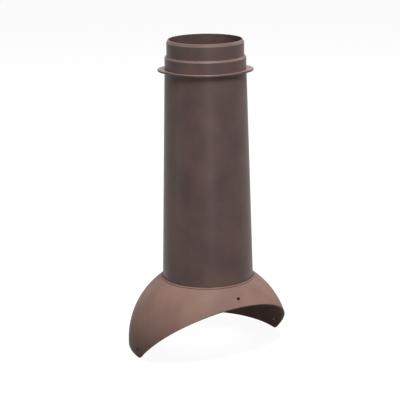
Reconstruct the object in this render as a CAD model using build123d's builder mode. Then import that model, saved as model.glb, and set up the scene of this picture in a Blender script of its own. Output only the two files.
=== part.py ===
from build123d import *
from math import asin, cos, degrees, radians, sin, sqrt, tan
import os

# Roof flashing for a vent pipe on a round ridge or hip, all sizes in millimetres.
# The origin is the centre of the ball that the saddle is cut from, on the pipe's axis.
# +Z runs up the plumb pipe, X runs from foot to foot, -Y is the raised end of the ridge.

# Vent pipe: mouth, collar and lugged flange
spigot_diameter = 110.0
spigot_wall = 3.2
spigot_length = 22.9
lead_in_height = 4.2
lead_in_depth = 2.2
collar_step = 2.9
collar_height = 18.9
collar_lead_height = 2.8
collar_lead_depth = 1.9
flange_width = 2.8
flange_thickness = 3.0
flange_bevel = 0.6
lug_count = 2
lug_projection = 7.1
lug_radius = 40.0
lug_blend = 14.0
lug_turn = -30.8

# Vent pipe: tapered barrel
barrel_length = 321.7
barrel_step = 0.3
barrel_flare = 8.65
barrel_wall = 3.0

# Saddle: a ball-shaped shell over the ridge
ball_diameter = 238.3
saddle_wall = 2.8
saddle_lean = 19.5
cut_rise = 22.9
foot_drop = 8.4
foot_round = 5.0
lip_height = 2.2
lip_wall = 1.9
lip_bevel = 1.2
socket_depth = 20.0
socket_clearance = 0.3
ledge_width = 4.5
screw_hole_diameter = 5.0
screw_edge_distance = 13.3
seam_turn = 45.0

# How near an edge or corner lies to a stated place when it is picked out there
pick_tolerance = 0.01

# Radii of the pipe, each one set off from the one above it
spigot_radius = spigot_diameter / 2
mouth_radius = spigot_radius - spigot_wall
collar_radius = spigot_radius + collar_step
barrel_top_radius = collar_radius + barrel_step
barrel_end_radius = barrel_top_radius + barrel_flare
flange_radius = barrel_top_radius + flange_width
lug_centre = flange_radius + lug_projection - lug_radius

# Heights that follow from the saddle's socket
ball_radius = ball_diameter / 2
inner_ball_radius = ball_radius - saddle_wall
socket_radius = barrel_end_radius + socket_clearance
lip_radius = socket_radius + lip_wall
sleeve_radius = socket_radius + saddle_wall
ledge_radius = socket_radius - ledge_width
lip_foot_z = sqrt(ball_radius**2 - lip_radius**2)
lip_top_z = lip_foot_z + lip_height
ledge_top_z = lip_top_z - socket_depth
ledge_bottom_z = ledge_top_z - saddle_wall
sleeve_top_z = sqrt(inner_ball_radius**2 - sleeve_radius**2)

# Heights up the pipe, which stands on the ledge
flange_bottom_z = ledge_top_z + barrel_length
flange_top_z = flange_bottom_z + flange_thickness
collar_top_z = flange_top_z + collar_height
rim_z = collar_top_z + spigot_length
lead_in_z = rim_z - lead_in_height
throat_z = collar_top_z - collar_step - barrel_wall


def ball_direction(rise, across):
    """Unit direction at an angle above the saddle's own level, across to the feet or along the ridge."""
    level, up = cos(radians(rise)), sin(radians(rise))
    lean = radians(saddle_lean)
    side, along = (across * level, 0) if across else (0, level)
    return Vector(side, -along * cos(lean) + up * sin(lean), along * sin(lean) + up * cos(lean))


# Vent pipe, one moulding with a draft that opens downwards
with BuildPart() as vent_pipe:
    with BuildSketch(Plane.XZ):
        with BuildLine():
            Polyline(
                (barrel_end_radius, ledge_top_z),
                (barrel_top_radius, flange_bottom_z),
                (barrel_top_radius, flange_top_z),
                (collar_radius, flange_top_z),
                (collar_radius, collar_top_z - collar_lead_height),
                (collar_radius - collar_lead_depth, collar_top_z),
                (spigot_radius, collar_top_z),
                (spigot_radius, lead_in_z),
                (spigot_radius - lead_in_depth, rim_z),
                (mouth_radius, rim_z),
                (mouth_radius, collar_top_z),
                (barrel_top_radius - barrel_wall, throat_z),
                (barrel_top_radius - barrel_wall, flange_bottom_z),
                (barrel_end_radius - barrel_wall, ledge_top_z),
                close=True,
            )
        make_face()
    revolve(axis=Axis.Z)

    # The flange is a ring with two broad lugs, blended where they leave it
    with BuildSketch(Plane.XY.offset(flange_bottom_z).rotated((0, 0, lug_turn))) as flange_outline:
        Circle(flange_radius)
        with PolarLocations(lug_centre, lug_count):
            Circle(lug_radius)
        lug_roots = flange_outline.vertices().filter_by(
            lambda v: abs(Vector(v.X, v.Y).length - flange_radius) < pick_tolerance
        )
        fillet(lug_roots, lug_blend)
        Circle(barrel_top_radius - barrel_wall / 2, mode=Mode.SUBTRACT)
    extrude(amount=flange_thickness)
    flange_edges = vent_pipe.edges().filter_by_position(Axis.Z, flange_bottom_z, flange_top_z).filter_by(
        lambda e: e.bounding_box().size.Z < pick_tolerance
        and all(Vector(v.X, v.Y).length > barrel_top_radius + pick_tolerance for v in e.vertices())
    )
    chamfer(flange_edges, flange_bevel)
vent_pipe.part.label = "vent_pipe"


# Ridge saddle, a shell cut by two planes that meet in the line through its feet
section_low_z = -foot_drop - foot_round
cut_plane = Plane(origin=(0, 0, 0), x_dir=ball_direction(180, 0), z_dir=(1, 0, 0))
cut_reach = ball_diameter
with BuildPart() as ridge_saddle:
    with BuildSketch(Plane.XZ.rotated((0, 0, seam_turn))):
        with BuildLine():
            outer_low = (sqrt(ball_radius**2 - section_low_z**2), section_low_z)
            outer_top = (lip_radius, lip_foot_z)
            inner_low = (sqrt(inner_ball_radius**2 - section_low_z**2), section_low_z)
            inner_top = (sleeve_radius, sleeve_top_z)
            RadiusArc(outer_low, outer_top, -ball_radius)
            Polyline(
                outer_top,
                (lip_radius, lip_top_z),
                (socket_radius, lip_top_z),
                (socket_radius, ledge_top_z),
                (ledge_radius, ledge_top_z),
                (ledge_radius, ledge_bottom_z),
                (sleeve_radius, ledge_bottom_z),
                inner_top,
            )
            RadiusArc(inner_top, inner_low, inner_ball_radius)
            Line(inner_low, outer_low)
        make_face()
    revolve(axis=Axis.Z)
    lip_edges = ridge_saddle.edges().filter_by(GeomType.CIRCLE).filter_by(
        lambda e: abs(e.radius - lip_radius) < pick_tolerance
        and abs(e.center().Z - lip_top_z) < pick_tolerance
    )
    chamfer(lip_edges, lip_bevel)

    # The cutter is a shallow V with its point rounded, so that the feet aren't sharp
    with BuildSketch(cut_plane):
        with BuildLine():
            cut_height = cut_reach * tan(radians(cut_rise)) - foot_drop
            FilletPolyline(
                (-cut_reach, cut_height), (0, -foot_drop), (cut_reach, cut_height), radius=foot_round
            )
            Polyline(
                (cut_reach, cut_height), (cut_reach, -ball_diameter),
                (-cut_reach, -ball_diameter), (-cut_reach, cut_height),
            )
        make_face()
    extrude(amount=ball_diameter, both=True, mode=Mode.SUBTRACT)

    # One screw hole near each foot and near each end of the crown, square to the shell
    hole_step = degrees(screw_edge_distance / ball_radius)
    crown_edge_rise = cut_rise - degrees(asin(foot_drop * cos(radians(cut_rise)) / ball_radius))
    foot_edge_rise = -degrees(asin(foot_drop / ball_radius))
    crown_hole_rise = crown_edge_rise + hole_step
    foot_hole_rise = foot_edge_rise + hole_step
    hole_directions = [
        ball_direction(crown_hole_rise, 0),
        ball_direction(180 - crown_hole_rise, 0),
        ball_direction(foot_hole_rise, 1),
        ball_direction(foot_hole_rise, -1),
    ]
    with BuildSketch(*[Plane(origin=d * ball_radius, z_dir=d) for d in hole_directions]):
        Circle(screw_hole_diameter / 2)
    extrude(amount=2 * saddle_wall, both=True, mode=Mode.SUBTRACT)
ridge_saddle.part.label = "ridge_saddle"


os.makedirs("parts", exist_ok=True)
export_step(vent_pipe.part, "parts/vent_pipe.step")
export_step(ridge_saddle.part, "parts/ridge_saddle.step")
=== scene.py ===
import math

import bpy
from mathutils import Matrix, Vector


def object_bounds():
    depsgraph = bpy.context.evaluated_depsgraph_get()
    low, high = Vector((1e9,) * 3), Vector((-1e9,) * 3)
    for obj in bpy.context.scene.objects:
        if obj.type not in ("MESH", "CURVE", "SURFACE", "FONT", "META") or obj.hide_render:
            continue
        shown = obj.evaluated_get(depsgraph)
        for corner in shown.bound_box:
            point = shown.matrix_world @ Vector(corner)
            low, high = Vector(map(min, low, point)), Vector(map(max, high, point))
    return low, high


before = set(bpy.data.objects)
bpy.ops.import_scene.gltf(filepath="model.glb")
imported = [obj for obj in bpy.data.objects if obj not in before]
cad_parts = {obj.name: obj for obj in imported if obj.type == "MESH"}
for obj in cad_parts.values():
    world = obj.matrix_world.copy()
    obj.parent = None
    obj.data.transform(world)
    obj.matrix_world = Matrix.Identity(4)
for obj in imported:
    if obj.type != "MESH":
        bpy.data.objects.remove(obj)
cad_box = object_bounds()


# The camera stands at the view of the product picture: a long lens, a little above the head,
# turned to the left of the ridge line so that one foot comes forward and the arch shows.
view_turn = math.radians(-30.74)
camera_reach = 1.948
camera_height = 0.73
look_down = math.radians(14.915)
look_left = math.radians(0.301)
camera_roll = math.radians(-0.763)
camera_lens = 125.0
camera_sensor = 36.0


def place_round_pipe(turn, reach, height):
    """A place at a turn round the pipe's axis, which is 0 at the raised end of the ridge."""
    return Vector((math.sin(turn) * reach, -math.cos(turn) * reach, height))


camera_data = bpy.data.cameras.new("camera")
camera_data.lens = camera_lens
camera_data.sensor_width = camera_sensor
camera = bpy.data.objects.new("camera", camera_data)
bpy.context.collection.objects.link(camera)
camera.matrix_world = (
    Matrix.Translation(place_round_pipe(view_turn, camera_reach, camera_height))
    @ Matrix.Rotation(view_turn + look_left, 4, "Z")
    @ Matrix.Rotation(math.pi / 2 - look_down, 4, "X")
    @ Matrix.Rotation(camera_roll, 4, "Z")
)
bpy.context.scene.camera = camera


# The floor is plain white board under the feet. The eye sees it white with a soft shadow,
# and it throws little light back up, so that the hollow under the saddle stays dark.
floor_drop = 0.0006
floor_size = 14.0
glow_share_seen = 0.86
glow_strength = 1.1
board_unseen = (0.005, 0.005, 0.005, 1.0)
board_seen = (0.90, 0.90, 0.90, 1.0)
white = (1.0, 1.0, 1.0, 1.0)


def share_seen_or_mirrored(nodes, links):
    """1 where the eye meets a surface, straight on or in a mirror, and 0 where it only lights others."""
    path = nodes.new("ShaderNodeLightPath")
    mirrored = nodes.new("ShaderNodeMath")
    mirrored.operation = "MAXIMUM"
    links.new(path.outputs["Is Glossy Ray"], mirrored.inputs[0])
    links.new(path.outputs["Is Transmission Ray"], mirrored.inputs[1])
    either = nodes.new("ShaderNodeMath")
    either.operation = "MAXIMUM"
    links.new(path.outputs["Is Camera Ray"], either.inputs[0])
    links.new(mirrored.outputs[0], either.inputs[1])
    return either.outputs[0]


bpy.ops.mesh.primitive_plane_add(size=floor_size, location=(0, 0, cad_box[0].z - floor_drop))
floor = bpy.context.object
floor.name = "floor"
floor_finish = bpy.data.materials.new("floor_white_board")
floor_finish.use_nodes = True
nodes, links = floor_finish.node_tree.nodes, floor_finish.node_tree.links
nodes.clear()
seen = share_seen_or_mirrored(nodes, links)
glow_share = nodes.new("ShaderNodeMath")
glow_share.operation = "MULTIPLY"
glow_share.inputs[1].default_value = glow_share_seen
links.new(seen, glow_share.inputs[0])
board_colour = nodes.new("ShaderNodeMix")
board_colour.data_type = "RGBA"
board_colour.inputs["A"].default_value = board_unseen
board_colour.inputs["B"].default_value = board_seen
links.new(seen, board_colour.inputs["Factor"])
board = nodes.new("ShaderNodeBsdfDiffuse")
links.new(board_colour.outputs["Result"], board.inputs["Color"])
glow = nodes.new("ShaderNodeEmission")
glow.inputs["Color"].default_value = white
glow.inputs["Strength"].default_value = glow_strength
floor_mix = nodes.new("ShaderNodeMixShader")
links.new(glow_share.outputs[0], floor_mix.inputs["Fac"])
links.new(board.outputs[0], floor_mix.inputs[1])
links.new(glow.outputs[0], floor_mix.inputs[2])
floor_output = nodes.new("ShaderNodeOutputMaterial")
links.new(floor_mix.outputs[0], floor_output.inputs["Surface"])
floor.data.materials.append(floor_finish)


# The room is a white studio. The eye sees its walls white, straight on and mirrored in the
# plastic, and as a light source they are a dim even grey.
room_grey = (0.020, 0.020, 0.022, 1.0)
world = bpy.data.worlds.new("studio")
bpy.context.scene.world = world
world.use_nodes = True
nodes, links = world.node_tree.nodes, world.node_tree.links
nodes.clear()
seen = share_seen_or_mirrored(nodes, links)
room_light = nodes.new("ShaderNodeBackground")
room_light.inputs["Color"].default_value = room_grey
room_white = nodes.new("ShaderNodeBackground")
room_white.inputs["Color"].default_value = white
room_mix = nodes.new("ShaderNodeMixShader")
links.new(seen, room_mix.inputs["Fac"])
links.new(room_light.outputs[0], room_mix.inputs[1])
links.new(room_white.outputs[0], room_mix.inputs[2])
room_output = nodes.new("ShaderNodeOutputWorld")
links.new(room_mix.outputs[0], room_output.inputs["Surface"])


# The lamps are soft boxes: two wide ones high above, of which the front one drops the shadow
# under the flange, a small low one in front for the sheen down the barrel, a weak one on each
# side for its edges, and a wide one that keeps the back from going black.
def soft_box(name, turn, reach, height, width, tall, watts, aim_height=0.2):
    """A rectangular lamp at a turn in degrees from the camera's direction, facing the pipe's axis."""
    lamp = bpy.data.lights.new(name, "AREA")
    lamp.shape = "RECTANGLE"
    lamp.size, lamp.size_y = width, tall
    lamp.energy = watts
    box = bpy.data.objects.new(name, lamp)
    bpy.context.collection.objects.link(box)
    box.location = place_round_pipe(view_turn + math.radians(turn), reach, height)
    facing = Vector((0, 0, aim_height)) - box.location
    box.rotation_euler = facing.to_track_quat("-Z", "Y").to_euler()


soft_box("overhead_box", turn=20, reach=0.15, height=2.4, width=0.7, tall=0.7, watts=40)
soft_box("front_box", turn=18, reach=0.75, height=2.3, width=0.5, tall=0.5, watts=42)
soft_box("sheen_box", turn=10, reach=1.25, height=0.1, width=0.14, tall=0.14, watts=2.2, aim_height=0.38)
soft_box("right_box", turn=125, reach=1.5, height=1.1, width=0.5, tall=0.5, watts=3)
soft_box("left_box", turn=-80, reach=1.0, height=0.08, width=0.3, tall=0.12, watts=0.7, aim_height=0.02)
soft_box("back_box", turn=180, reach=1.1, height=2.0, width=0.8, tall=0.8, watts=12)


# The vent pipe is one injection moulding in brown satin polypropylene: a smooth barrel with
# faint flow clouds, drawn off its core downwards, with a fine grain from the mould's skin.
pipe_brown = (0.127, 0.085, 0.080, 1.0)
pipe_light = (0.178, 0.111, 0.097, 1.0)
cloud_detail = 3.0
cloud_low = 0.36
cloud_high = 0.64
gloss_swing = 0.05
grain_size = 0.0012
grain_detail = 4.0
grain_depth = 0.0002
grain_strength = 0.25


def moulded_plastic(name, brown, light, cloud_size, roughness, gleam):
    """Satin moulded plastic: soft clouds in the colour and the gloss, and a fine skin grain."""
    finish = bpy.data.materials.new(name)
    finish.use_nodes = True
    nodes, links = finish.node_tree.nodes, finish.node_tree.links
    skin = nodes["Principled BSDF"]
    skin.inputs["Specular IOR Level"].default_value = gleam
    place = nodes.new("ShaderNodeTexCoord")
    clouds = nodes.new("ShaderNodeTexNoise")
    clouds.inputs["Scale"].default_value = 1 / cloud_size
    clouds.inputs["Detail"].default_value = cloud_detail
    links.new(place.outputs["Object"], clouds.inputs["Vector"])
    drift = nodes.new("ShaderNodeMapRange")
    drift.inputs["From Min"].default_value = cloud_low
    drift.inputs["From Max"].default_value = cloud_high
    links.new(clouds.outputs["Fac"], drift.inputs["Value"])
    tint = nodes.new("ShaderNodeMix")
    tint.data_type = "RGBA"
    tint.inputs["A"].default_value = brown
    tint.inputs["B"].default_value = light
    links.new(drift.outputs["Result"], tint.inputs["Factor"])
    links.new(tint.outputs["Result"], skin.inputs["Base Color"])
    gloss = nodes.new("ShaderNodeMapRange")
    gloss.inputs["To Min"].default_value = roughness - gloss_swing
    gloss.inputs["To Max"].default_value = roughness + gloss_swing
    links.new(clouds.outputs["Fac"], gloss.inputs["Value"])
    links.new(gloss.outputs["Result"], skin.inputs["Roughness"])
    grain = nodes.new("ShaderNodeTexNoise")
    grain.inputs["Scale"].default_value = 1 / grain_size
    grain.inputs["Detail"].default_value = grain_detail
    links.new(place.outputs["Object"], grain.inputs["Vector"])
    relief = nodes.new("ShaderNodeBump")
    relief.inputs["Strength"].default_value = grain_strength
    relief.inputs["Distance"].default_value = grain_depth
    links.new(grain.outputs["Fac"], relief.inputs["Height"])
    links.new(relief.outputs["Normal"], skin.inputs["Normal"])
    return finish


def dress(node_name, finish):
    """Put one finish on all material slots of a piece."""
    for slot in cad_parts[node_name].material_slots:
        slot.material = finish


pipe_finish = moulded_plastic(
    "pipe_plastic", pipe_brown, pipe_light, cloud_size=0.05, roughness=0.42, gleam=0.19
)
dress("vent_pipe", pipe_finish)


# The saddle is a second moulding in the same plastic, a shell cut from a ball, screwed down
# over the ridge at its feet and at both ends of its crown. Its skin is duller. Its colour is
# the pipe's plastic painted lighter, a painted light for the top light on its upward faces.
# These browns are painted lighter than the pipe's browns of the same plastic: the lift is painted top
# light.
saddle_brown_painted_lighter = (0.198, 0.121, 0.101, 1.0)
saddle_tint_painted_lighter = (0.242, 0.148, 0.120, 1.0)
saddle_finish = moulded_plastic(
    "saddle_plastic", saddle_brown_painted_lighter, saddle_tint_painted_lighter, cloud_size=0.04, roughness=0.54, gleam=0.06
)
dress("ridge_saddle", saddle_finish)


bpy.context.scene.view_settings.view_transform = "Standard"
